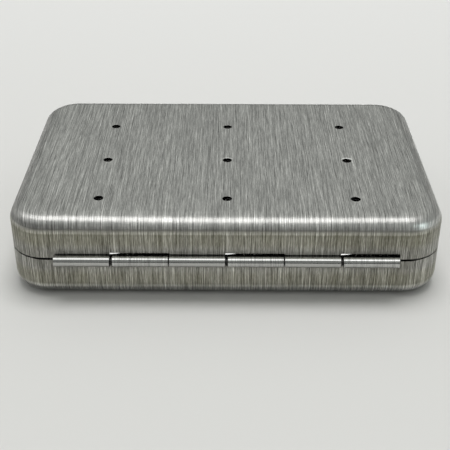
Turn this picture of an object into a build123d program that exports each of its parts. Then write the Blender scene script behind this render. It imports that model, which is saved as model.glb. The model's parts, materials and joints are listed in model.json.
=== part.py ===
"""Pocket fly box: two drawn aluminium trays on a curled knuckle hinge.

Millimetres. The box stands closed on its flat bottom, which lies on z = 0.
X runs along the hinge, the hinge is on the +Y side and the latch on the -Y side.
"""

import os
from math import sqrt

from build123d import *

os.makedirs("parts", exist_ok=True)

# Case: two trays of the same depth that meet edge to edge
case_length = 152.4
case_depth = 101.6
half_height = 15.875
sheet = 0.8
corner_radius = 13.5
edge_radius = 6.0
seam_gap = 0.55

# Hinge: knuckles curled from the rims around one pin, which sits a little off centre,
# with the lid's knuckles a little towards +X from the base's
knuckle_count = 6
knuckle_pitch = 20.0
knuckle_gap = 0.6
lid_play = 0.18
hinge_shift_x = -0.42
hinge_bore_radius = 1.2
pin_clearance = 0.05
curl_slit = 0.5
notch_clearance = 0.85
pin_inset = 0.3

# Vents drilled through the lid, with a broken edge outside
vent_radius = 1.65
vent_edge_break = 0.1
vent_pitch_x = 45.35
vent_pitch_y = 29.5
vent_columns = 3
vent_lines = 3
vent_shift_x = -0.45
vent_shift_y = 6.25

# Inserts: a thin plate in each half, with upright rails that carry the springs
insert_sheet = 0.5
insert_fit = 0.1
plate_margin = 0.5
rail_inset = 4.0
rail_end_margin = 0.6
rail_cap = 1.2
hook_hole_radius = 0.6
springs_per_vent_line = 3

# Ears of the inserts, which go up the end walls to their rivets
ear_width = 12.0
ear_spacing = 40.0
ear_height = 11.0
ear_rivet_drop = 2.6

# Springs that hold the flies
spring_diameter = 4.0
spring_lift = 0.8
spring_clearance = 0.3
spring_wall_space = 1.5

# Latch: a tongue on a bracket of the lid, and a keeper on the base
latch_sheet = 0.7
latch_bore_radius = 0.85
latch_rise = 3.6
latch_wall_gap = 0.35
latch_side_gap = 0.3
latch_turning_gap = 0.3
tongue_width = 9.8
bracket_width = 20.0
bracket_height = 6.25
bracket_rivet_spacing = 14.0
bracket_rivet_rise = 4.35
plate_corner_radius = 1.0

# Tongue below its knuckle
joggle_top = 3.4
joggle_height = 1.9
lip_height = 1.9
lip_reach = 2.0
bend_radius = 0.9
channel_radius = 0.8

# Keeper
keeper_sheet = 0.5
keeper_width = 22.0
keeper_height = 7.2
keeper_drop = 5.9
ridge_radius = 0.8
ridge_length = 9.0
ridge_clearance = 0.3
keeper_rivet_spacing = 17.0

# Rivets
rivet_shank_radius = 1.0
rivet_hole_clearance = 0.1
rivet_head_radius = 1.6
rivet_head_height = 0.7
rivet_tail_radius = 1.5
rivet_tail_height = 0.5

# Sizes that follow from the ones above
case_height = 2 * half_height
rim_height = half_height - seam_gap / 2
wall_y = case_depth / 2
end_x = case_length / 2

knuckle_width = knuckle_pitch - knuckle_gap
barrel_radius = hinge_bore_radius + sheet
hinge_y = wall_y + hinge_bore_radius
hinge_pin_radius = hinge_bore_radius - pin_clearance
hinge_length = knuckle_count * knuckle_pitch - knuckle_gap
notch_depth = sqrt((barrel_radius + notch_clearance) ** 2 - hinge_bore_radius**2)
notch_width = knuckle_width + 2 * knuckle_gap
first_knuckle = hinge_shift_x + (knuckle_count - 1) / 2 * knuckle_pitch
knuckle_places = [first_knuckle - i * knuckle_pitch for i in range(knuckle_count)]
lid_places = [x + lid_play for x in knuckle_places]

cavity_length = case_length - 2 * (sheet + insert_fit)
cavity_depth = case_depth - 2 * (sheet + insert_fit)
floor_inset = edge_radius + plate_margin
plate_length = case_length - 2 * floor_inset
plate_depth = case_depth - 2 * floor_inset
plate_top = sheet + insert_sheet
rail_height = spring_lift + spring_diameter + rail_cap
rail_x = plate_length / 2 - rail_inset
spring_z = plate_top + spring_lift + spring_diameter / 2
spring_length = 2 * rail_x - insert_sheet
ear_rivet_z = sheet + ear_height - ear_rivet_drop

# The rows of springs lie between the lines of vents, as far out as the flat floor allows
row_pitch = vent_pitch_y / springs_per_vent_line
row_limit = wall_y - edge_radius - spring_wall_space - spring_diameter / 2
first_row = vent_shift_y + row_pitch / 2
row_places = [first_row + k * row_pitch for k in range(-40, 40)]
spring_rows = [y for y in row_places if abs(y) <= row_limit]
rail_length = spring_rows[-1] - spring_rows[0] + spring_diameter + 2 * rail_end_margin
rail_y = (spring_rows[-1] + spring_rows[0]) / 2
rail_places = [-rail_x, 0, rail_x]

rivet_hole_radius = rivet_shank_radius + rivet_hole_clearance
ear_rivet_places = [(x, y) for x in (1, -1) for y in (ear_spacing / 2, -ear_spacing / 2)]

latch_barrel_radius = latch_bore_radius + latch_sheet
latch_pin_radius = latch_bore_radius - pin_clearance
latch_y = -(wall_y + latch_wall_gap + latch_barrel_radius)
latch_z = half_height + latch_rise
bracket_knuckle_width = (bracket_width - tongue_width) / 2 - latch_side_gap
bracket_knuckle_x = (bracket_width - bracket_knuckle_width) / 2
bracket_rivet_z = latch_z + bracket_rivet_rise
keeper_z = half_height - keeper_drop
keeper_face = -(wall_y + keeper_sheet)
panel_face = keeper_face - ridge_radius - ridge_clearance


def ring_and_strap(y, z, bore_radius, thickness, strap_top, strap_bottom, slit_side):
    """Section of a curled knuckle, drawn on a YZ sketch, with its strap towards -Y.

    The sheet comes along the strap, goes once around the bore, and its free edge
    stops a slit short of the strap, on the side of the axis that slit_side gives.
    """
    outer_radius = bore_radius + thickness
    with Locations((y, z)):
        Circle(outer_radius)
    with Locations((y - outer_radius, (strap_top + strap_bottom) / 2)):
        Rectangle(thickness, strap_top - strap_bottom, align=(Align.MIN, Align.CENTER))
    with Locations((y, z)):
        Circle(bore_radius, mode=Mode.SUBTRACT)
    with Locations((y - bore_radius, z + slit_side * outer_radius / 2)):
        Rectangle(curl_slit, outer_radius, align=(Align.MIN, Align.CENTER), mode=Mode.SUBTRACT)


def half_shell(own_knuckles, other_knuckles):
    """One drawn tray, open side up, with its own knuckles and notches for the other's."""
    with BuildPart() as shell:
        with BuildSketch():
            RectangleRounded(case_length, case_depth, corner_radius)
        extrude(amount=rim_height)
        fillet(shell.faces().sort_by(Axis.Z)[0].edges(), edge_radius)
        offset(amount=-sheet, openings=shell.faces().sort_by(Axis.Z)[-1])
        with Locations([(x, wall_y - sheet / 2, half_height) for x in other_knuckles]):
            Box(notch_width, 2 * sheet, 2 * notch_depth, mode=Mode.SUBTRACT)
        for x in own_knuckles:
            with BuildSketch(Plane.YZ.offset(x - knuckle_width / 2)):
                ring_and_strap(hinge_y, half_height, hinge_bore_radius, sheet,
                               half_height, rim_height - notch_depth, -1)
            extrude(amount=knuckle_width)
        with Locations([end_plane(side, y) for side, y in ear_rivet_places]):
            Hole(rivet_hole_radius, depth=2 * sheet)
    return shell.part


def end_plane(side, y):
    """Plane on an end wall at an ear's rivet, facing out."""
    return Plane(origin=(side * end_x, y, ear_rivet_z), x_dir=(0, 1, 0), z_dir=(side, 0, 0))


def front_plane(x, z, distance):
    """Plane in front of the front wall, facing out."""
    return Plane(origin=(x, -(wall_y + distance), z), x_dir=(1, 0, 0), z_dir=(0, -1, 0))


def rivet(grip):
    """One set rivet along Z: a domed head on z = 0, its shank and a flat tail below."""
    dome_radius = (rivet_head_radius**2 + rivet_head_height**2) / (2 * rivet_head_height)
    with BuildPart() as pin:
        with BuildSketch(Plane.XZ):
            with Locations((0, rivet_head_height - dome_radius)):
                Circle(dome_radius)
            Rectangle(rivet_head_radius, rivet_head_height,
                      align=(Align.MIN, Align.MIN), mode=Mode.INTERSECT)
            Rectangle(rivet_shank_radius, grip, align=(Align.MIN, Align.MAX))
            with Locations((0, -grip)):
                Rectangle(rivet_tail_radius, rivet_tail_height, align=(Align.MIN, Align.MAX))
        revolve(axis=Axis.Z)
    return pin.part


def insert_plate():
    """Insert of one half: the plate on the flat floor, its ears and the spring rails."""
    with BuildPart() as insert:
        with BuildSketch(Plane.XY.offset(sheet)):
            RectangleRounded(cavity_length, cavity_depth, corner_radius - sheet - insert_fit)
        extrude(amount=ear_height)
        fillet(insert.faces().sort_by(Axis.Z)[0].edges(), edge_radius - sheet)
        offset(amount=-insert_sheet, openings=insert.faces().sort_by(Axis.Z)[-1])
        with BuildSketch(Plane.XY.offset(sheet)):
            RectangleRounded(plate_length, plate_depth, corner_radius - edge_radius)
            with Locations((0, ear_spacing / 2), (0, -ear_spacing / 2)):
                Rectangle(case_length, ear_width)
        extrude(amount=ear_height, mode=Mode.INTERSECT)
        # Windows that the rails were bent up from, on the inner side of each end rail
        # and on one side of the middle rail
        for x, window_side in zip(rail_places, (1, 1, -1)):
            with Locations((x + window_side * (insert_sheet + rail_height) / 2, rail_y, sheet)):
                Box(rail_height, rail_length, 4 * insert_sheet, mode=Mode.SUBTRACT)
        with Locations([(x, rail_y, sheet) for x in rail_places]):
            Box(insert_sheet, rail_length, insert_sheet + rail_height,
                align=(Align.CENTER, Align.CENTER, Align.MIN))
        with Locations([(x, y, spring_z) for x in (-rail_x, rail_x) for y in spring_rows]):
            Cylinder(hook_hole_radius, 2 * insert_sheet, rotation=(0, 90, 0), mode=Mode.SUBTRACT)
        with Locations([(0, y, spring_z) for y in spring_rows]):
            Cylinder(spring_diameter / 2 + spring_clearance, 2 * insert_sheet,
                     rotation=(0, 90, 0), mode=Mode.SUBTRACT)
        with Locations([end_plane(side, y) for side, y in ear_rivet_places]):
            Hole(rivet_hole_radius, depth=sheet + insert_fit + 2 * insert_sheet)
    return insert.part


def insert_rivets():
    """The four rivets that hold one insert to the end walls."""
    one_rivet = rivet(sheet + insert_fit + insert_sheet)
    with BuildPart() as group:
        with Locations([end_plane(side, y) for side, y in ear_rivet_places]):
            add(one_rivet)
    return group.part


def insert_spring(y):
    """Outer form of one spring, from end rail to end rail."""
    with BuildPart() as spring:
        with BuildSketch(Plane.YZ.offset(-spring_length / 2)):
            with Locations((y, spring_z)):
                Circle(spring_diameter / 2)
        extrude(amount=spring_length)
    return spring.part


def in_lid(part):
    """The same piece in the lid, which is the base's mirror image about the seam."""
    return mirror(part, about=Plane.XY.offset(half_height))


def save(part, name):
    """Label a finished piece and write it."""
    part.label = name
    export_step(part, f"parts/{name}.step")


# Base: tray and insert, with the holes of the keeper's rivets
with BuildPart() as base_shell:
    add(half_shell(knuckle_places[1::2], knuckle_places[0::2]))
    with Locations([front_plane(x, keeper_z, 0)
                    for x in (-keeper_rivet_spacing / 2, keeper_rivet_spacing / 2)]):
        Hole(rivet_hole_radius, depth=2 * sheet)
save(base_shell.part, "base_shell")

with BuildPart() as base_insert:
    add(insert_plate())
save(base_insert.part, "base_insert")

# Lid: tray and insert, drilled with the vents, and the holes of the bracket's rivets
with BuildPart() as lid_shell:
    add(in_lid(half_shell(lid_places[0::2], lid_places[1::2])))
    with Locations((vent_shift_x, vent_shift_y, case_height)):
        with GridLocations(vent_pitch_x, vent_pitch_y, vent_columns, vent_lines):
            CounterSinkHole(vent_radius, vent_radius + vent_edge_break, depth=2 * sheet)
    with Locations([front_plane(x, bracket_rivet_z, 0)
                    for x in (-bracket_rivet_spacing / 2, bracket_rivet_spacing / 2)]):
        Hole(rivet_hole_radius, depth=2 * sheet)
save(lid_shell.part, "lid_shell")

with BuildPart() as lid_insert:
    add(in_lid(insert_plate()))
    with Locations((vent_shift_x, vent_shift_y, case_height - sheet)):
        with GridLocations(vent_pitch_x, vent_pitch_y, vent_columns, vent_lines):
            Hole(vent_radius, depth=2 * insert_sheet)
save(lid_insert.part, "lid_insert")

# Rivets of the two inserts
save(insert_rivets(), "base_insert_rivets")
save(in_lid(insert_rivets()), "lid_insert_rivets")

# Springs, numbered from the latch side
for number, row in enumerate(spring_rows, start=1):
    save(insert_spring(row), f"base_spring_{number}")
    save(in_lid(insert_spring(row)), f"lid_spring_{number}")

# Hinge pin, a little short of the outer knuckles
with BuildPart() as hinge_pin:
    with Locations((hinge_shift_x, hinge_y, half_height)):
        Cylinder(hinge_pin_radius, hinge_length - 2 * pin_inset, rotation=(0, 90, 0))
    chamfer(hinge_pin.edges().filter_by(GeomType.CIRCLE), hinge_pin_radius / 4)
save(hinge_pin.part, "hinge_pin")

# Latch bracket: a plate on the lid's front wall, with a knuckle curled at each side
with BuildPart() as latch_bracket:
    bracket_top = latch_z + bracket_height
    step_z = latch_z + latch_barrel_radius + latch_turning_gap
    with BuildSketch(front_plane(0, (bracket_top + step_z) / 2, 0)):
        RectangleRounded(bracket_width, bracket_top - step_z, plate_corner_radius)
    extrude(amount=latch_sheet)
    for x in (-bracket_knuckle_x, bracket_knuckle_x):
        with BuildSketch(Plane.YZ.offset(x - bracket_knuckle_width / 2)) as bracket_curl:
            ring_and_strap(-latch_y, latch_z, latch_bore_radius, latch_sheet,
                           step_z + latch_sheet, latch_z, 1)
            mirror(about=Plane.YZ, mode=Mode.REPLACE)
        extrude(amount=bracket_knuckle_width)
    with Locations([front_plane(x, bracket_rivet_z, latch_sheet)
                    for x in (-bracket_rivet_spacing / 2, bracket_rivet_spacing / 2)]):
        Hole(rivet_hole_radius, depth=2 * latch_sheet)
save(latch_bracket.part, "latch_bracket")

with BuildPart() as latch_bracket_rivets:
    with Locations([front_plane(x, bracket_rivet_z, latch_sheet)
                    for x in (-bracket_rivet_spacing / 2, bracket_rivet_spacing / 2)]):
        add(rivet(latch_sheet + sheet))
save(latch_bracket_rivets.part, "latch_bracket_rivets")

with BuildPart() as latch_pin:
    with Locations((0, latch_y, latch_z)):
        Cylinder(latch_pin_radius, bracket_width, rotation=(0, 90, 0))
save(latch_pin.part, "latch_pin")

# Tongue: curled at the top, stepped out over the keeper, with a channel and a thumb lip
with BuildPart() as latch_tongue:
    with BuildSketch(Plane.YZ.offset(-tongue_width / 2)):
        ring_and_strap(-latch_y, latch_z, latch_bore_radius, latch_sheet,
                       latch_z, latch_z - joggle_top / 2, -1)
        mirror(about=Plane.YZ, mode=Mode.REPLACE)
    extrude(amount=tongue_width)
    strap_face = latch_y + latch_barrel_radius
    panel_bottom = keeper_z - keeper_height / 2
    with BuildSketch(Plane.YZ.offset(-tongue_width / 2)):
        with BuildLine():
            FilletPolyline(
                (strap_face, latch_z),
                (strap_face, latch_z - joggle_top),
                (panel_face, latch_z - joggle_top - joggle_height),
                (panel_face, panel_bottom),
                (panel_face - lip_reach, panel_bottom - lip_height),
                radius=bend_radius,
            )
            offset(amount=latch_sheet, side=Side.RIGHT)
        make_face()
        with Locations((panel_face, keeper_z)):
            Circle(channel_radius + latch_sheet)
            Circle(channel_radius, mode=Mode.SUBTRACT)
        with Locations((panel_face, keeper_z)):
            Rectangle(2 * channel_radius + 2 * latch_sheet, 2 * channel_radius + 2 * latch_sheet,
                      align=(Align.MIN, Align.CENTER), mode=Mode.SUBTRACT)
    extrude(amount=tongue_width)
save(latch_tongue.part, "latch_tongue")

# Keeper: a plate on the base's front wall, with a rounded ridge under the tongue's channel
with BuildPart() as latch_keeper:
    with BuildSketch(front_plane(0, keeper_z, 0)):
        RectangleRounded(keeper_width, keeper_height, plate_corner_radius)
    extrude(amount=keeper_sheet)
    with BuildSketch(Plane.YZ.offset(-ridge_length / 2)):
        with Locations((keeper_face, keeper_z)):
            Circle(ridge_radius)
            Rectangle(2 * ridge_radius, 2 * ridge_radius,
                      align=(Align.MIN, Align.CENTER), mode=Mode.SUBTRACT)
    extrude(amount=ridge_length)
    with Locations([front_plane(x, keeper_z, keeper_sheet)
                    for x in (-keeper_rivet_spacing / 2, keeper_rivet_spacing / 2)]):
        Hole(rivet_hole_radius, depth=2 * keeper_sheet)
save(latch_keeper.part, "latch_keeper")

with BuildPart() as latch_keeper_rivets:
    with Locations([front_plane(x, keeper_z, keeper_sheet)
                    for x in (-keeper_rivet_spacing / 2, keeper_rivet_spacing / 2)]):
        add(rivet(keeper_sheet + sheet))
save(latch_keeper_rivets.part, "latch_keeper_rivets")

print("knuckles at x =", [round(x, 2) for x in knuckle_places], "hinge length", hinge_length)
print("spring rows at y =", [round(y, 2) for y in spring_rows])
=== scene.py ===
# %% [markdown]
# # A pocket fly box
#
# The box is two shallow trays of brushed aluminium on a knuckle hinge, with nine vents in the lid,
# a latch at the front, and rows of springs inside that hold fishing flies by the hook. The
# construction is finished already: it is loaded here as a fixed frame, at its real size, with the
# base's flat bottom on z = 0, the hinge on the +Y side and the latch on the -Y side. This lesson
# dresses it: first the camera, the light and the floor, then the brushed metal, which is what the
# eye sees most, and at the end the lips of the notches and the wire springs.

# %% The frame
import json
import math
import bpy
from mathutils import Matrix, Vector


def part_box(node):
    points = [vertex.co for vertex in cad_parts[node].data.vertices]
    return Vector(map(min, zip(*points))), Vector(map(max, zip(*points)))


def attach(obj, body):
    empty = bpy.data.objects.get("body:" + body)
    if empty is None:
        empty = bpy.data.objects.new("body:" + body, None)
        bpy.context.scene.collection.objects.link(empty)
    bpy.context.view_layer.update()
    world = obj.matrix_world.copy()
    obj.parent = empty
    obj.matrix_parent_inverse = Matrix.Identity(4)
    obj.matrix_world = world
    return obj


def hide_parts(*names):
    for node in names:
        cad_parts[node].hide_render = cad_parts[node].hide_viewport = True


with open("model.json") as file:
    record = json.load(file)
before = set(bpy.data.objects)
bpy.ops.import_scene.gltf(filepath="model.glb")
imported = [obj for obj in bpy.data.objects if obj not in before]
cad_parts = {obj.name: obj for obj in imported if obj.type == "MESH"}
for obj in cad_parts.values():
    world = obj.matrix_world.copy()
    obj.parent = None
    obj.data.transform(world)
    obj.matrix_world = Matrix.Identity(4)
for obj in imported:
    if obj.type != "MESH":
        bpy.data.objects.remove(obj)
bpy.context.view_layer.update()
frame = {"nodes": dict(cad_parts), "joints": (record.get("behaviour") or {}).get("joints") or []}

from types import SimpleNamespace

import bmesh
import bpy
from mathutils import Matrix, Vector

nodes = frame["nodes"]

# %% [markdown]
# ## Sizes
#
# Most sizes are read from the frame, so that they stay true if the box changes. The radii and the
# sheet of the drawn trays can't be read from a bounding box, so they are written here, in
# millimetres like every other size below. Blender works in metres, and one factor turns one into
# the other.

# %% Sizes of the trays, in millimetres
MM = 0.001
lid_low, lid_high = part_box("lid_shell")
half_length = lid_high.x / MM
half_depth = -lid_low.y / MM
case_height = lid_high.z / MM
half_height = case_height / 2
corner_radius = 13.5
edge_radius = 6.0
sheet = 0.8
hinge_z = next(joint["pos_m"][2] for joint in frame["joints"] if joint["name"] == "lid_hinge") / MM
print("case", 2 * half_length, 2 * half_depth, case_height, "hinge's axis at", hinge_z)

# %% [markdown]
# ## The camera
#
# The camera was fitted to the photograph: with a 36 mm sensor its lens is 74 mm, and it stands
# about 37 cm from the box, on the hinge's side, looking down 31 degrees. A camera in Blender looks
# along its own -Z axis, with +Y as its top. So it is turned about X until it looks down by the
# pitch instead of straight down, and then about Z until it faces the hinge. The roll is what the
# photographer's hand added.

# %% The camera
camera_place = Vector((-0.955, 319.28, 193.11)) * MM
camera_pitch = 0.5460
camera_heading = math.pi + 0.0043
camera_roll = 0.0022

camera_data = bpy.data.cameras.new("camera")
camera_data.sensor_width = 36.0
camera_data.lens = 74.0
camera = bpy.data.objects.new("camera", camera_data)
bpy.context.scene.collection.objects.link(camera)
camera.matrix_world = (
    Matrix.Translation(camera_place)
    @ Matrix.Rotation(camera_heading, 4, "Z")
    @ Matrix.Rotation(math.pi / 2 - camera_pitch, 4, "X")
    @ Matrix.Rotation(camera_roll, 4, "Z")
)
bpy.context.scene.camera = camera
bpy.context.scene.view_settings.view_transform = "Standard"
print("camera", [round(c, 4) for c in camera.location], "lens", camera_data.lens)

# %% [markdown]
# ## Writing shader maths as Python
#
# A material is a tree of nodes. Placing each node by hand makes long scripts that hide the idea,
# so one small class wraps a socket of the tree: Python's operators on it add Math nodes, and its
# method `node` adds any other node. The rest of the lesson then reads as formulas.

# %% A socket with operators


class Shade:
    """One socket of a node tree, on which Python's operators work as Math nodes."""

    def __init__(self, tree, socket=None):
        self.tree = tree
        self.socket = socket

    def node(self, kind, settings, inputs, output=0):
        """Add a node: its settings first, then the values or links of its sockets."""
        node = self.tree.nodes.new(kind)
        for name, value in settings.items():
            setattr(node, name, value)
        for name, value in inputs.items():
            if isinstance(value, Shade):
                self.tree.links.new(value.socket, node.inputs[name])
            else:
                node.inputs[name].default_value = value
        return Shade(self.tree, node.outputs[output])

    def math(self, operation, first, second=0.0):
        """Add a Math node. An operation on one number leaves the second one out."""
        return self.node("ShaderNodeMath", {"operation": operation}, {0: first, 1: second})

    def __add__(self, other):
        return self.math("ADD", self, other)

    def __radd__(self, other):
        return self.math("ADD", other, self)

    def __sub__(self, other):
        return self.math("SUBTRACT", self, other)

    def __rsub__(self, other):
        return self.math("SUBTRACT", other, self)

    def __mul__(self, other):
        return self.math("MULTIPLY", self, other)

    def __rmul__(self, other):
        return self.math("MULTIPLY", other, self)

    def __truediv__(self, other):
        return self.math("DIVIDE", self, other)

    def __rtruediv__(self, other):
        return self.math("DIVIDE", other, self)

    def __pow__(self, other):
        return self.math("POWER", self, other)

    def __abs__(self):
        return self.math("ABSOLUTE", self)

    def sign(self):
        return self.math("SIGN", self)

    def floor(self):
        return self.math("FLOOR", self)

    def rounded(self):
        return self.math("ROUND", self)

    def sine(self):
        return self.math("SINE", self)

    def cosine(self):
        return self.math("COSINE", self)

    def angle(self, other):
        """The angle whose tangent is this number over another one."""
        return self.math("ARCTAN2", self, other)

    def at_least(self, other):
        return self.math("MAXIMUM", self, other)

    def at_most(self, other):
        return self.math("MINIMUM", self, other)

    def to_nearest(self, spacing):
        """Distance to the nearest whole multiple of a spacing."""
        return self.math("PINGPONG", self, spacing / 2)

    def rise(self, low, high):
        """0 below low, 1 above high, and a smooth step between them."""
        limits = {"Value": self, "From Min": low, "From Max": high}
        return self.node("ShaderNodeMapRange", {"interpolation_type": "SMOOTHSTEP"}, limits)

    def band(self, start, full, fading, end):
        """0 outside start and end, 1 from full to fading, and smooth steps between them."""
        return self.rise(start, full) * (1 - self.rise(fading, end))

    def parts(self):
        """The three numbers of a vector."""
        split = self.node("ShaderNodeSeparateXYZ", {}, {"Vector": self})
        outputs = split.socket.node.outputs
        return [Shade(self.tree, outputs[i]) for i in range(3)]

    def vector(self, x, y, z):
        """Three numbers as one vector or colour."""
        return self.node("ShaderNodeCombineXYZ", {}, {"X": x, "Y": y, "Z": z})

    def scaled(self, factor):
        """A colour or a vector, made larger or darker by a number."""
        return self.node("ShaderNodeVectorMath", {"operation": "SCALE"}, {0: self, "Scale": factor})

    def plus(self, other):
        """The sum of two colours or vectors."""
        return self.node("ShaderNodeVectorMath", {"operation": "ADD"}, {0: self, 1: other})

    def mix(self, first, second):
        """The first colour where this number is 0, and the second where it is 1."""
        return self.node("ShaderNodeMix", {"data_type": "RGBA"}, {0: self, 6: first, 7: second}, 2)

    def noise(self, place, detail=2.0, roughness=0.5):
        """Noise from 0 to 1, about 0.5 on average, with one cell for each unit of place."""
        values = {"Vector": place, "Scale": 1.0, "Detail": detail, "Roughness": roughness}
        return self.node("ShaderNodeTexNoise", {}, values)


print("operators ready")

# %% [markdown]
# ## The room
#
# The photograph was made on a pale sweep. Metal has hardly a colour of its own: it shows what is
# around it, so the surroundings are part of the finish. The room could be an image, but a formula
# on the direction of view is enough: a soft light from above that is darker at the horizon and
# towards the hinge's side, which gives the dark band under the lid's bright line. Only the camera
# sees the pale backdrop, so that it adds no light to the metal.

# %% The world
horizon_light = 0.115
zenith_light = 0.575
zenith_slope = (0.02, 0.6)
hinge_side_dimming = 0.35
red_share, blue_share = 0.97, 0.965
backdrop_color = (0.80, 0.80, 0.785, 1.0)

world = bpy.data.worlds.new("room")
world.use_nodes = True
world.node_tree.nodes.clear()
sky = Shade(world.node_tree)
direction = sky.node("ShaderNodeTexCoord", {}, {}, "Generated").parts()
seen = sky.node("ShaderNodeLightPath", {}, {}, "Is Camera Ray")
room_light = horizon_light + (zenith_light - horizon_light) * direction[2].rise(*zenith_slope)
room_light = room_light * (1 - hinge_side_dimming * direction[1])
room_color = sky.vector(red_share * room_light, room_light, blue_share * room_light)
background = sky.node("ShaderNodeBackground", {}, {"Color": seen.mix(room_color, backdrop_color)})
world_output = world.node_tree.nodes.new("ShaderNodeOutputWorld")
world.node_tree.links.new(background.socket, world_output.inputs["Surface"])
bpy.context.scene.world = world
print("world light from", horizon_light, "to", zenith_light)

# %% [markdown]
# ## The lamps
#
# Each lamp has one job, as in a product photographer's studio. The soft box overhead is the bright
# line along the rounded edge of the lid, a second one beside the box lights its left end, and a
# small window far to the right is the cool glint on that corner. They show in the metal and don't
# light the floor. The floor has a lamp of its own, which stands beyond the box, so that the shadow
# falls on the hinge's side, and which the metal doesn't show. So each can be set without the rest.

# %% The lamps


def soft_box(name, place, size, radiance, color=(1.0, 1.0, 1.0), shows_in_metal=True):
    """A rectangular soft box that faces the middle of the case, with its place and size in metres."""
    data = bpy.data.lights.new(name, "AREA")
    data.color = color
    data.shape = "RECTANGLE"
    data.size = size[0]
    data.size_y = size[1]
    data.energy = radiance * math.pi * size[0] * size[1]
    lamp = bpy.data.objects.new(name, data)
    bpy.context.scene.collection.objects.link(lamp)
    lamp.location = place
    aim = Vector((0, 0, half_height * MM)) - lamp.location
    lamp.rotation_euler = aim.to_track_quat("-Z", "Y").to_euler()
    lamp.visible_glossy = shows_in_metal
    lamp.visible_diffuse = not shows_in_metal
    print(name, "at", [round(c, 2) for c in place], "watts", round(data.energy, 2))


soft_box("overhead_soft_box", Vector((0.05, 0.61, 2.0)), (2.2, 1.12), radiance=2.3)
soft_box("left_soft_box", Vector((1.6, 0.1, 1.5)), (0.9, 1.1), radiance=2.0)
soft_box("far_window", Vector((-1.6, 1.1, 0.55)), (0.14, 0.14), radiance=68.0, color=(0.85, 1.0, 1.0))
soft_box("floor_light", Vector((-0.06, -0.26, 2.0)), (1.0, 0.98), radiance=7.6, shows_in_metal=False)

# %% [markdown]
# ## Two helpers for materials
#
# Every finish below starts with the same steps: a new material, its principled shader, and the
# point on the surface. Object coordinates give that point, because they stay with a piece when it
# moves. In millimetres the formulas read like a drawing.

# %% Helpers for materials


def new_finish(name):
    """A new material's principled shader, and the point on the surface in millimetres."""
    material = bpy.data.materials.new(name)
    material.use_nodes = True
    tree = material.node_tree
    shader = next(node for node in tree.nodes if node.type == "BSDF_PRINCIPLED")
    point = Shade(tree).node("ShaderNodeTexCoord", {}, {}, "Object").scaled(1 / MM)
    return material, shader, point


def finish(shader, **inputs):
    """Set or link the shader's sockets, whose names are written with _ for a space."""
    for name, value in inputs.items():
        socket = shader.inputs[name.replace("_", " ")]
        if isinstance(value, Shade):
            value.tree.links.new(value.socket, socket)
        else:
            socket.default_value = value


print("helpers ready")

# %% [markdown]
# ## The floor
#
# The pale sweep is one large square. A real sweep curves up behind the object and gets brighter
# there, because it faces the lamp. Here the colour does the same: it rises slowly from the near
# side to far behind the box, and the square can stay flat.

# %% The floor
floor_size = 6.0
near_color = (0.675, 0.668, 0.654, 1)
far_color = (0.768, 0.76, 0.755, 1)
near_y, far_y = 120.0, -500.0

reach = floor_size / 2
floor_corners = [(-reach, -reach, 0), (reach, -reach, 0), (reach, reach, 0), (-reach, reach, 0)]
floor_mesh = bpy.data.meshes.new("floor")
floor_mesh.from_pydata(floor_corners, [], [(0, 1, 2, 3)])
floor = bpy.data.objects.new("floor", floor_mesh)
bpy.context.scene.collection.objects.link(floor)

floor_paint, floor_shader, floor_point = new_finish("pale_floor")
far_side = floor_point.parts()[1].rise(near_y, far_y)
finish(floor_shader, Base_Color=far_side.mix(near_color, far_color), Roughness=0.7,
       Specular_IOR_Level=0.2)
floor_mesh.materials.append(floor_paint)
print("floor", floor_size, "m wide")

# %% [markdown]
# ## Brushed aluminium: where each point lay on the blank
#
# The sheet was brushed in one direction before it was drawn into a tray. So on the flat the fine
# lines run from the latch to the hinge, and over the rounded edges and the corners they go where
# the sheet was bent. A flat pattern on x and y would smear on the walls. The sheet's own
# coordinates are worked out instead: how far across and along the flat blank each point lay before
# drawing. The walls get a second pair of coordinates, around the tray and down its wall, because
# the drawing die left its own lines there, straight down.
#
# The same function notes what the steps below ask about a point: how deep it lies under the
# tray's flat, whether it is inside, on an end, or on the lid.

# %% A point of a tray
tiny = 1e-4


def tray_point(point):
    """What the finish needs to know about a point of a tray."""
    x, y, z = point.parts()
    depth = half_height - abs(z - half_height)

    # How far the point lies outside the rectangle between the corners' centres
    across_flat = half_length - corner_radius
    along_flat = half_depth - corner_radius
    out_x = (abs(x) - across_flat).at_least(0)
    out_y = (abs(y) - along_flat).at_least(0)
    out = (out_x * out_x + out_y * out_y) ** 0.5

    # The way there over the sheet: flat, then around the edge, then down the wall
    flat = corner_radius - edge_radius
    past = (out - flat).at_least(0)
    above = (edge_radius - depth).at_least(0)
    turn = past.angle(above + tiny)
    run = out.at_most(flat) + edge_radius * turn + (depth - edge_radius).at_least(0)
    stretch = run / out.at_least(tiny)
    across = x.sign() * (abs(x).at_most(across_flat) + stretch * out_x)
    along = y.sign() * (abs(y).at_most(along_flat) + stretch * out_y)

    # The way around the tray, and down its wall
    around = abs(x).at_most(across_flat) + corner_radius * out_x.angle(out_y + tiny)
    around = x.sign() * (around + (along_flat - abs(y)).at_least(0))
    down = y.sign() * (along_flat + run)

    # The inner faces lie a sheet's thickness inside the rounded edge
    from_edge_centre = (past * past + above * above) ** 0.5
    outer = from_edge_centre.rise(edge_radius - 0.6 * sheet, edge_radius - 0.4 * sheet)
    on_end = out_x * out_x / (out_x * out_x + out_y * out_y).at_least(tiny)
    return SimpleNamespace(
        point=point, x=x, y=y, z=z, depth=depth, on_blank=(across, along), on_wall=(around, down),
        inner=1 - outer, on_end=on_end, on_side=1 - on_end.rise(0.05, 0.5),
        on_lid=z.rise(half_height, half_height + 1.0), sideways=x / half_length)


flat_and_walls = half_length - edge_radius + half_height - edge_radius
print("blank", round(2 * (flat_and_walls + edge_radius * math.pi / 2), 1), "mm long before drawing")

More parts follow.
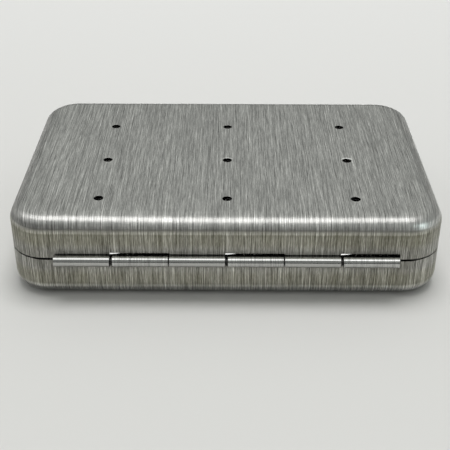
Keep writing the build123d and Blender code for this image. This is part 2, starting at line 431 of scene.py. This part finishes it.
# %% [markdown]
# ## Brushed aluminium: the lines
#
# A brush line is noise that is squeezed across the brush and drawn out along it. One kind looks
# like printed cloth, so four kinds are mixed, from specks to lines of 60 mm. Plain noise would
# also start its lines side by side in rows, so each line is shifted along by a random amount. On
# the walls the die's long lines win over the brush's.

# %% Lines of the brush and of the die
shift_range = 20.0
seed_step = 7.3
drawn_fade = 3.5
line_kinds = {
    "speck": {"seed": 0.0, "width": 0.20, "length": 1.5, "detail": 0.0, "on_flat": 0.8, "on_wall": 0.7},
    "short": {"seed": 2.0, "width": 0.21, "length": 5.0, "detail": 0.0, "on_flat": 1.5, "on_wall": 1.3},
    "fine": {"seed": 3.0, "width": 0.25, "length": 14.0, "detail": 0.0, "on_flat": 1.9, "on_wall": 1.4},
    "long": {"seed": 5.0, "width": 0.24, "length": 60.0, "detail": 1.0, "on_flat": 1.9, "on_wall": 2.2},
}


def lines(point, place, seed, width, length, detail):
    """Noise about 0, drawn out into lines, each shifted along by a random amount."""
    across, along = place
    column = across / width
    number = column.floor() + seed_step * seed
    shift = point.node("ShaderNodeTexWhiteNoise", {"noise_dimensions": "1D"}, {"W": number})
    return point.noise(point.vector(column, along / length + shift_range * shift, seed), detail) - 0.5


def streaks(point, place, seed, wall):
    """The relief, the fine lines and the mixture of all lines at a place, each about 0."""
    made = {}
    mixture = 0.0
    for name, kind in line_kinds.items():
        made[name] = lines(point, place, seed + kind["seed"], kind["width"], kind["length"], kind["detail"])
        strength = kind["on_flat"] + (kind["on_wall"] - kind["on_flat"]) * wall
        mixture = mixture + strength * made[name]
    return made["short"] + made["fine"], made["fine"], mixture


def brushed_lines(spot, seed, wall, drawn_from):
    """The same three on a tray: the brush's lines, which give way to the die's below a depth."""
    drawn = spot.depth.rise(drawn_from, drawn_from + drawn_fade)
    on_blank = streaks(spot.point, spot.on_blank, seed, wall)
    on_wall = streaks(spot.point, spot.on_wall, seed, wall)
    return [brush + drawn * (die - brush) for brush, die in zip(on_blank, on_wall)]


print("kinds of lines", list(line_kinds))

# %% [markdown]
# ## Brushed aluminium: painted reflections around the bend
#
# The rounded edge shows the room as bands along it that keep their depth all the way, and these are
# painted into the colour as painted reflection and painted shade: a pale one in the middle of the
# bend, a bright line where the bend ends in the wall, and on the lid two dark ones, above that line
# and under it. They could be drawn as separate strips, but a mask on the depth, with where a band
# starts and where it ends, follows every corner by itself. The bright line wanders a little.

# %% Painted reflection bands around the bend, by depth
pale_band = (2.0, 2.8, 3.8, 4.3)
dark_band = (3.6, 4.1, 4.5, 5.0)
low_band = (5.8, 6.2, 6.6, 7.2)
barrel_shadow = (11.5, 12.6)
pale_strength = 0.15
pale_loss, loss_range = 0.45, (0.5, 0.95)
pale_gain, gain_range = 0.18, (0.7, 0.95)
dark_strength = 0.22
low_strength = 0.08
barrel_shadow_strength = 0.13
line_core = 0.1
ripple_length = 5.0
ripple_height = 0.7
ripple_seed = 17.0


def painted_bend_bands(spot, seed, line_depth, line_width, line_strength):
    """The brightness of the painted reflection bands, where 1 is plain, and the mask of the upper dark one.
    """
    around = spot.on_wall[0]
    ripple = spot.point.noise(spot.point.vector(around / ripple_length, 0.0, seed + ripple_seed), 2.0)
    off_line = abs(spot.depth - line_depth + ripple_height * (ripple - 0.5))
    bright = (1 - off_line.rise(line_core, line_width)) * spot.on_side
    dark = spot.depth.band(*dark_band) * spot.on_side * spot.on_lid
    low = spot.depth.band(*low_band) * spot.on_lid

    # Painted shade and light: the pale band turns dark towards the +X end, and is paler at the -X end
    pale = pale_strength - pale_loss * spot.sideways.rise(*loss_range)
    pale = pale + pale_gain * (0 - spot.sideways).rise(*gain_range)
    pale = pale * spot.depth.band(*pale_band)

    # Painted shadow: the base's wall is darker below the barrels, which keep some light from it
    hinge_wall = spot.y.rise(half_depth - 1.0, half_depth - 0.5)
    barrel_shadow_mask = hinge_wall * spot.depth.rise(*barrel_shadow) * (1 - spot.on_lid)
    bands = 1 + line_strength * bright - dark_strength * dark + pale - low_strength * low
    return bands - barrel_shadow_strength * barrel_shadow_mask, dark


print("bands from", pale_band[0], "to", low_band[-1], "mm deep")

# %% [markdown]
# ## Brushed aluminium: the tone of the walls
#
# The walls are darker than the flat, and yellowish. Both change slowly around the box, so a coarse
# noise carries them. The grey of a line multiplies the sheet's own grey, but the yellow tint is
# added on top of the lines: it takes a little blue away from the sum, so that dark lines get it too.

# %% Tone of the walls
flat_grey = 0.402
wall_grey = 0.2535
brushed_tint = (1.005, 0.995, 0.963)
tint_color = (0.004, 0.001, -0.033)
tint_start = (3.3, 5.5)
tint_loss, loss_depth = 0.6, (8.8, 13.0)
patch_length, patch_seed = 9.0, 13.0
slow_length, slow_seed, slow_contrast = 4.0, 29.0, 0.8
noise_down = 60.0
corner_start = (60.0, 74.0)
rim_light, rim_start = 0.1, (9.0, 11.5)


def wall_tone(spot, seed, wall, wall_shade):
    """The grey of the sheet, from the flat to the walls."""
    around, down = spot.on_wall
    place = spot.point.vector(around / slow_length, down / noise_down, seed + slow_seed)
    slow = spot.point.noise(place, 1.0) - 0.5

    # Painted shade and light: a wall gets darker from its middle to its ends, and the corners are lighter
    # again
    painted_corner_light = (0.22 - 0.13 * spot.sideways) * abs(spot.x).rise(*corner_start)
    painted_end_shade = 1.1 + 0.04 * spot.sideways - 0.3 * spot.sideways * spot.sideways + painted_corner_light

    # It's a little lighter towards the rim
    down_fall = 1 + rim_light * spot.depth.rise(*rim_start) + slow_contrast * slow
    return flat_grey + wall * (wall_grey * (wall_shade * painted_end_shade * down_fall) - flat_grey)


def yellow_tint(spot, seed):
    """How much yellow tint a wall gets: most under the bend, and less towards the rim."""
    around, down = spot.on_wall
    place = spot.point.vector(around / patch_length, down / noise_down, seed + patch_seed)
    patch = spot.point.noise(place, 3.0, 0.6)
    fading = 1 - tint_loss * spot.depth.rise(*loss_depth)
    return spot.depth.rise(*tint_start) * fading * (0.6 + 0.8 * patch)


print("grey from", flat_grey, "on the flat to", wall_grey, "on the walls")

# %% [markdown]
# ## Vents and hinge gaps
#
# Two places are painted nearly black, as painted shade: the bores of the vents and the gaps
# between the knuckles. Both are masks on the distance to the nearest vent or gap. A ping-pong of the
# coordinate gives that distance for all of them at once. The lid's knuckles sit a little to one
# side of the base's, so wide and narrow gaps alternate, and each kind has its own ping-pong. On the
# latch's side of the vents in the middle row a pale crescent is painted in, a painted highlight.

# %% Vents
vent_radius = 1.65
vent_pitch = (45.35, 29.5)
vent_shift = (-0.45, 6.25)
glint_ring = (0.04, 0.12, 0.4, 1.0)
glint_strength = 0.8
glint_growth = 1.1


def vent_marks(spot):
    """Painted shade, 1 on a vent's bore below its broken edge, and how much brighter its painted crescent
    is.
    """
    off_x = (spot.x - vent_shift[0]).to_nearest(vent_pitch[0])
    off_y = (spot.y - vent_shift[1]).to_nearest(vent_pitch[1])
    from_edge = (off_x * off_x + off_y * off_y) ** 0.5 - vent_radius
    bore_shade = (1 - from_edge.rise(0.08, 0.12)) * spot.depth.rise(0.02, 0.08) * spot.on_lid

    # The painted crescents get brighter towards the -X end, and the vent nearest to the +X end has none
    row = (spot.y - vent_shift[1]) / vent_pitch[1]
    beyond = (row.rounded() - row) * vent_pitch[1]
    middle_row = 1 - abs(row).rise(0.4, 0.6)
    strength = (glint_strength - glint_growth * spot.x / vent_pitch[0]).at_least(0)
    on_top = (1 - spot.depth.rise(0.5, 1.0)) * spot.on_lid
    glint_crescent = from_edge.band(*glint_ring) * beyond.rise(0.7, 1.5) * middle_row
    return bore_shade, strength * glint_crescent * on_top


print("vents", vent_pitch, "mm apart")

# %% Gaps of the hinge
knuckle_count = 6
knuckle_pitch = 20.0
knuckle_width = 19.4
hinge_shift = -0.42
lid_play = 0.18
shade_over_edge = 0.09


def hinge_gap_shade(spot):
    """Painted shade: 1 in the gaps between knuckles and on the rims beside the outer ones, and 0 elsewhere.
    """
    gap_middle = hinge_shift + lid_play / 2
    half_gap = (knuckle_pitch - knuckle_width) / 2
    wide = (spot.x - gap_middle).to_nearest(2 * knuckle_pitch) - half_gap - lid_play / 2
    narrow = (spot.x - gap_middle - knuckle_pitch).to_nearest(2 * knuckle_pitch) - half_gap + lid_play / 2
    outer_knuckle = (knuckle_count - 1) / 2 * knuckle_pitch
    between = 1 - abs(spot.x).rise(outer_knuckle, outer_knuckle + 1.0)
    on_barrel = spot.y.rise(half_depth + 0.1, half_depth + 0.3)
    in_gap = between * on_barrel * (1 - (wide - shade_over_edge).at_most(narrow).rise(0.02, 0.06))

    hinge_end = knuckle_count / 2 * knuckle_pitch - half_gap
    beside = abs(spot.x - gap_middle).rise(hinge_end + 0.05, hinge_end + 0.15)
    beside = beside * (1 - abs(spot.x).rise(63.0, 72.0))
    on_wall = spot.y.band(half_depth - 1.0, half_depth - 0.5, half_depth + 0.02, half_depth + 0.06)
    rim = beside * on_wall * spot.depth.rise(half_height - 0.45, half_height - 0.38)
    return in_gap.at_least(rim)


print("knuckles", knuckle_count, "at a pitch of", knuckle_pitch)

# %% [markdown]
# ## Barrels and the inside
#
# The hinge's barrels were curled from the same sheet, and rolling polished them. So they are
# smoother than the walls and show fine lines around the curl. Painted light makes them paler: a thin
# strip above the hinge's axis, and all that lies below it. The inside of the trays was never
# brushed: it is plain sheet, lighter and duller than the barrels. Another material could be put on
# these faces, but one material with a mask keeps the change soft, and no face has to be chosen.

# %% Barrels and the inside
plain_color = (0.345, 0.345, 0.335)
roll_grain = (30.0, 0.14)
roll_contrast = 0.3
lining_light = 0.35
curl_seed, curl_width, curl_length = 23.0, 0.22, 6.0
barrel_light_high, barrel_light_low = (-1.0, -0.6), (0.8, 1.3)
barrel_light_strip = (-1.2, -1.0, -0.8, -0.6)


def plain_sheet(spot, seed, curl_contrast):
    """Where the sheet is plain, where it is the lining, its colour and the lines of the roll."""
    barrel = spot.y.rise(half_depth + 0.03, half_depth + 0.1)
    lining = spot.inner * (1 - barrel)
    along_roll, across_roll = roll_grain
    place = spot.point.vector(spot.x / along_roll, spot.y / across_roll, spot.z / across_roll)
    roll_lines = spot.point.noise(place, 1.0)

    # Painted light: paler below the hinge's axis and in a thin strip above it
    below_axis = half_height - spot.z
    painted_barrel_light = 0.35 * below_axis.rise(*barrel_light_high) + 0.75 * below_axis.rise(*barrel_light_low)
    painted_barrel_light = painted_barrel_light + 0.45 * below_axis.band(*barrel_light_strip)
    around_curl = (spot.x, spot.z)
    curl_lines = lines(spot.point, around_curl, seed + curl_seed, curl_width, curl_length, 1.0)
    shade = 1 + roll_contrast * (roll_lines - 0.5) + barrel * (curl_contrast * curl_lines + painted_barrel_light)
    color = spot.point.vector(*plain_color).scaled(shade + lining_light * lining)
    return barrel.at_least(spot.inner), lining, color, roll_lines


print("plain sheet ready")

# %% [markdown]
# ## The finish of a tray
#
# Now the parts come together. A line's tone is a power of the mixture, so that the bright lines
# stand out more than the dark ones, as on real brushed metal. The same lines give the relief and a
# little of the roughness, so that they stay visible in any light. The sheet rolls over the edge a
# little more near the ends than in the middle, which bows the bright line. That is less than a
# millimetre, so it is part of the relief too, and the construction stays as it is.

# %% The brushed finish
flat_contrast = 0.85
wall_contrast = 0.43
calm_in_dark_band = 0.4
darkest_line = 0.3
tone_power = 3.0
painted_shade_strength = 0.97
brushed_roughness = 0.34
end_roughness = 0.24
line_roughness = 0.3
barrel_roughness = 0.13
lining_roughness = 0.2
relief_height = 0.03
roll_line_relief = 0.2
wall_start = 1.6
roll_at_ends = 27.0
roll_in_middle = 2.9
roll_reach = (-1.5, 4.0)


def brushed_aluminium(name, seed, wall_shade, drawn_from, bend_line, curl_contrast):
    """The trays' finish. bend_line is the painted bright line's depth, width and strength."""
    material, shader, point = new_finish(name)
    spot = tray_point(point)
    wall = spot.depth.rise(edge_radius - wall_start, edge_radius)
    relief, fine, mixture = brushed_lines(spot, seed, wall, drawn_from)
    bands, dark_band_mask = painted_bend_bands(spot, seed, *bend_line)
    contrast = (flat_contrast + wall_contrast * wall) * (1 - calm_in_dark_band * dark_band_mask)
    tone = (1 + contrast / tone_power * mixture).at_least(darkest_line) ** tone_power

    grey = wall_tone(spot, seed, wall, wall_shade)
    brushed = point.vector(*brushed_tint).scaled(grey * tone * bands)
    brushed = brushed.plus(point.vector(*tint_color).scaled(yellow_tint(spot, seed) * tone ** 0.5))
    plain, lining, sheet_color, roll_lines = plain_sheet(spot, seed, curl_contrast)
    bore_shade, vent_glint = vent_marks(spot)
    # Painted shade in the vents' bores and the hinge's gaps, and painted highlights on the vents' crescents
    painted_shade = bore_shade.at_least(hinge_gap_shade(spot))
    color = plain.mix(brushed, sheet_color).scaled((1 - painted_shade_strength * painted_shade) * (1 + vent_glint))

    rough = brushed_roughness + end_roughness * spot.on_end * spot.depth.rise(0.05, 2.0)
    rough = rough + line_roughness * fine
    rough = rough + plain * (barrel_roughness + lining_roughness * lining - rough)
    roll = roll_at_ends * spot.sideways * spot.sideways - roll_in_middle
    height = (1 - plain) * relief + plain * roll_line_relief * roll_lines
    height = height - roll * (case_height - spot.z).rise(*roll_reach)
    bump = {"Height": height, "Distance": relief_height * MM, "Strength": 1.0}
    normal = point.node("ShaderNodeBump", {}, bump)
    finish(shader, Base_Color=color, Metallic=1.0, Roughness=rough, Normal=normal)
    return material


print("contrast of the lines", flat_contrast, "on the flat and", flat_contrast + wall_contrast, "on a wall")

# %% Dressing the trays


def dress(name, material):
    """Give a node of the frame its finish."""
    for slot in nodes[name].material_slots:
        slot.material = material


lid_finish = brushed_aluminium(
    "brushed_lid", seed=0.0, wall_shade=0.945, drawn_from=2.5, bend_line=(5.55, 0.5, 0.27),
    curl_contrast=0.5)
base_finish = brushed_aluminium(
    "brushed_base", seed=50.0, wall_shade=1.02, drawn_from=0.5, bend_line=(4.7, 1.1, 0.42),
    curl_contrast=2.0)
dress("lid_shell", lid_finish)
dress("base_shell", base_finish)
print("trays dressed, nodes of the lid's finish", len(lid_finish.node_tree.nodes))

# %% [markdown]
# ## The other metals
#
# The inserts are mill sheet: brighter and smoother than the brushed trays, with faint lines from
# the rolls. The rivets are soft aluminium that the setting tool polished. Both pins are drawn wire,
# but the hinge pin is painted nearly black as painted shade, so it only shows as black gaps between
# the knuckles. The latch is plated steel, which has hardly any pattern, only a slow change of tone
# where hands have worn it. All of them are one formula with different sizes of grain.

# %% The other finishes
wear_size = 9.0
wear_roughness = 0.25


def plain_metal(name, color, roughness, grain, contrast, wear=0.0, painted_shade=0.0):
    """A smooth metal: fine lines of a given size in each direction, slow patches of wear, and painted
    shade.
    """
    material, shader, point = new_finish(name)
    x, y, z = point.parts()
    grain_lines = point.noise(point.vector(x / grain[0], y / grain[1], z / grain[2]), 2.0)
    patches = point.noise(point.vector(x / wear_size, y / wear_size, z / wear_size), 3.0)
    shade = (1 - painted_shade) * (1 + contrast * (grain_lines - 0.5) + wear * (patches - 0.5))
    finish(shader, Base_Color=point.vector(*color).scaled(shade), Metallic=1.0,
           Roughness=roughness + wear_roughness * wear * (patches - 0.5))
    return material


pin_color = (0.42, 0.42, 0.40)
pin_grain = (20.0, 0.2, 0.2)
insert_metal = plain_metal("mill_sheet", (0.52, 0.52, 0.51), 0.30, (40.0, 0.25, 40.0), 0.35, wear=0.15)
rivet_metal = plain_metal("soft_rivet", (0.55, 0.55, 0.54), 0.28, (0.6, 0.6, 0.6), 0.2, wear=0.2)
pin_metal = plain_metal("drawn_pin", pin_color, 0.3, pin_grain, 0.3, wear=0.1)
# The hinge pin is painted nearly black, as painted shade in the gaps between the knuckles
shade_dark_pin = plain_metal("shade_dark_pin", pin_color, 0.45, pin_grain, 0.3, wear=0.1, painted_shade=0.9)
latch_metal = plain_metal("plated_steel", (0.50, 0.50, 0.47), 0.22, (0.3, 0.3, 30.0), 0.12, wear=0.3)
wire_metal = plain_metal("spring_wire", (0.55, 0.54, 0.50), 0.18, (0.2, 0.2, 0.2), 0.1)

for name in nodes:
    if name.endswith("_insert"):
        dress(name, insert_metal)
    elif name.endswith("_rivets"):
        dress(name, rivet_metal)
    elif "_spring_" in name:
        dress(name, wire_metal)
dress("hinge_pin", shade_dark_pin)
dress("latch_pin", pin_metal)
for name in ("latch_bracket", "latch_keeper", "latch_tongue"):
    dress(name, latch_metal)
print("all nodes dressed")

# %% [markdown]
# ## Lips of the notches
#
# The lid's rim is notched where the base's knuckles pass. The cutter bent the sheet outwards a
# little as it entered, at the same end of each notch, and that small lip catches the overhead
# light as a bright wedge. It could be painted on, but its shape is simple: each lip is one
# triangular bar, wide at the notch's end and tapering to nothing. Its outer face slopes halfway
# between the camera and the soft box, like a mirror that is turned until it shows the lamp.

# %% The lips
notch_top = hinge_z + 2.585
lip_length = 3.6
lip_widths = ((0.0, 0.39), (0.5, 0.273), (1.0, 0.03))
lip_slope = math.radians(38)
lip_root = 0.35
into_wall = 0.01
into_notch = 0.02


def lip_sections(end):
    """Three triangles, from the notch's end to the lip's tip, at shares of its length."""
    sections = []
    for share, width in lip_widths:
        x = end - share * lip_length
        out = width * math.cos(lip_slope)
        down = width * math.sin(lip_slope)
        sections.append([
            (x, half_depth - into_wall, notch_top + into_notch),
            (x, half_depth + out, notch_top - down),
            (x, half_depth - lip_root, notch_top + into_notch),
        ])
    return sections


def notch_lips():
    """One triangular bar at the +X end of each of the lid's three notches."""
    corners = []
    faces = []
    for number in range(knuckle_count // 2):
        middle = hinge_shift + (1.5 - 2 * number) * knuckle_pitch + lid_play
        first = len(corners)
        for section in lip_sections(middle + knuckle_pitch - knuckle_width / 2):
            corners.extend(section)
        for start in (first, first + 3):
            for k in range(3):
                after = (k + 1) % 3
                faces.append((start + k, start + after, start + 3 + after, start + 3 + k))
        faces.append((first + 2, first + 1, first))
        faces.append((first + 6, first + 7, first + 8))
    mesh = bpy.data.meshes.new("notch_lips")
    mesh.from_pydata([Vector(corner) * MM for corner in corners], [], faces)
    shape = bmesh.new()
    shape.from_mesh(mesh)
    bmesh.ops.recalc_face_normals(shape, faces=shape.faces)
    shape.to_mesh(mesh)
    shape.free()
    mesh.materials.append(plain_metal("cut_edge", (0.5, 0.5, 0.49), 0.3, (8.0, 0.3, 0.3), 0.2))
    lips = bpy.data.objects.new("notch_lips", mesh)
    bpy.context.scene.collection.objects.link(lips)
    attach(lips, "lid")
    return len(faces)


print("lips with", notch_lips(), "faces")

# %% [markdown]
# ## The springs
#
# The solid construction has a plain bar in place of each spring. The real ones are long open coils
# of thin wire: each end turns in to the axis, goes through a small hole in the end rail, and is
# bent over behind it. All nine of a half are the same, so one node tree builds the wire once and
# puts it on nine points. The wire is a straight line of points first, and one formula moves each
# point: how far along the axis it is gives the turn, the coil's radius there, and, past the rail,
# the hook. The same operators as in the materials write that formula.

# %% The tree of the springs
points_per_turn = 12
wire_sides = 5
coil_start = 0.1
coil_end = 1.2
rail_sheet = 0.5
hook_gap = 0.3
hook_radius = 0.6
hook_tail = 0.9


def bent_wire(line, given, bend_start, bend_length):
    """Move each point of a straight wire to its place on the coil or on a hook."""
    run = line.node("GeometryNodeInputPosition", {}, {}).parts()[0]
    distance = abs(run)
    past = (distance - bend_start).at_least(0)
    turn = (past / (hook_radius * MM)).at_most(math.pi / 2)
    tail = (past - bend_length).at_least(0)
    radius = given["Coil Radius"] * (given["Rail Face"] - distance).rise(coil_start * MM, coil_end * MM)
    winding = run / given["Pitch"] * (2 * math.pi)
    hook_out = hook_radius * MM * turn.sine()
    hook_drop = hook_radius * MM * (1 - turn.cosine()) + tail
    new_x = run.sign() * (distance.at_most(bend_start) + hook_out)
    new_y = radius * winding.cosine()
    new_z = radius * winding.sine() + given["Hook Side"] * hook_drop
    moved = {"Geometry": line, "Position": run.vector(new_x, new_y, new_z)}
    return line.node("GeometryNodeSetPosition", {}, moved)


def spring_tree():
    """Geometry nodes: one wire spring on every point of the mesh that it is given."""
    tree = bpy.data.node_groups.new("springs", "GeometryNodeTree")
    face = tree.interface
    face.new_socket("Points", in_out="INPUT", socket_type="NodeSocketGeometry")
    for name in ("Rail Face", "Pitch", "Coil Radius", "Wire Radius", "Hook Side"):
        face.new_socket(name, in_out="INPUT", socket_type="NodeSocketFloat")
    face.new_socket("Wire", in_out="INPUT", socket_type="NodeSocketMaterial")
    face.new_socket("Springs", in_out="OUTPUT", socket_type="NodeSocketGeometry")
    inputs = tree.nodes.new("NodeGroupInput").outputs
    given = {socket.name: Shade(tree, socket) for socket in inputs if socket.name}

    bend_start = given["Rail Face"] + (rail_sheet + hook_gap) * MM
    bend_length = hook_radius * MM * math.pi / 2
    wire_end = bend_start + bend_length + hook_tail * MM
    ends = {"Start": wire_end.vector(0 - wire_end, 0.0, 0.0), "End": wire_end.vector(wire_end, 0.0, 0.0)}
    line = wire_end.node("GeometryNodeCurvePrimitiveLine", {}, ends)
    count = (2 * points_per_turn * wire_end / given["Pitch"]).rounded()
    line = line.node("GeometryNodeResampleCurve", {}, {"Curve": line, "Count": count})
    wire = bent_wire(line, given, bend_start, bend_length)

    profile = {"Resolution": wire_sides, "Radius": given["Wire Radius"]}
    profile = wire.node("GeometryNodeCurvePrimitiveCircle", {"mode": "RADIUS"}, profile)
    swept = {"Curve": wire, "Profile Curve": profile, "Fill Caps": True}
    coil = wire.node("GeometryNodeCurveToMesh", {}, swept)
    placed = {"Points": given["Points"], "Instance": coil}
    placed = coil.node("GeometryNodeInstanceOnPoints", {}, placed)
    real = placed.node("GeometryNodeRealizeInstances", {}, {"Geometry": placed})
    dressed = {"Geometry": real, "Material": given["Wire"]}
    dressed = real.node("GeometryNodeSetMaterial", {}, dressed)
    output = tree.nodes.new("NodeGroupOutput")
    tree.links.new(dressed.socket, output.inputs["Springs"])
    return tree


springs_tree = spring_tree()
print("spring tree with", len(springs_tree.nodes), "nodes")

# %% [markdown]
# ## The springs of each half
#
# The middles of the bars are the points, so the coils lie exactly where the construction has them.
# The modifier is evaluated once and its mesh kept, as one piece for each half, and the hooks of
# the base hang down while the lid's stand up, both towards the plate.

# %% The springs of each half
coil_radius = 1.75
wire_radius = 0.25
coil_pitch = 1.35


def springs(body, hook_side):
    """Replace the bars of one half by wire springs in one mesh."""
    bars = [name for name in nodes if name.startswith(body + "_spring_")]
    boxes = [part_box(name) for name in bars]
    points = bpy.data.meshes.new("spring_points")
    points.from_pydata([(low + high) / 2 for low, high in boxes], [], [])
    holder = bpy.data.objects.new("spring_points", points)
    bpy.context.scene.collection.objects.link(holder)
    modifier = holder.modifiers.new("springs", "NODES")
    modifier.node_group = springs_tree
    values = {"Rail Face": boxes[0][1].x, "Pitch": coil_pitch * MM, "Coil Radius": coil_radius * MM,
              "Wire Radius": wire_radius * MM, "Hook Side": hook_side, "Wire": wire_metal}
    for socket in springs_tree.interface.items_tree:
        if socket.in_out == "INPUT" and socket.name in values:
            modifier[socket.identifier] = values[socket.name]
    evaluated = holder.evaluated_get(bpy.context.evaluated_depsgraph_get())
    mesh = bpy.data.meshes.new_from_object(evaluated)
    bpy.data.objects.remove(holder)
    mesh.shade_smooth()
    wires = bpy.data.objects.new(body + "_springs", mesh)
    bpy.context.scene.collection.objects.link(wires)
    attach(wires, body)
    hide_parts(*bars)
    triangles = sum(len(polygon.vertices) - 2 for polygon in mesh.polygons)
    print(body, "springs", len(bars), "triangles", triangles)


springs("base", -1.0)
springs("lid", 1.0)
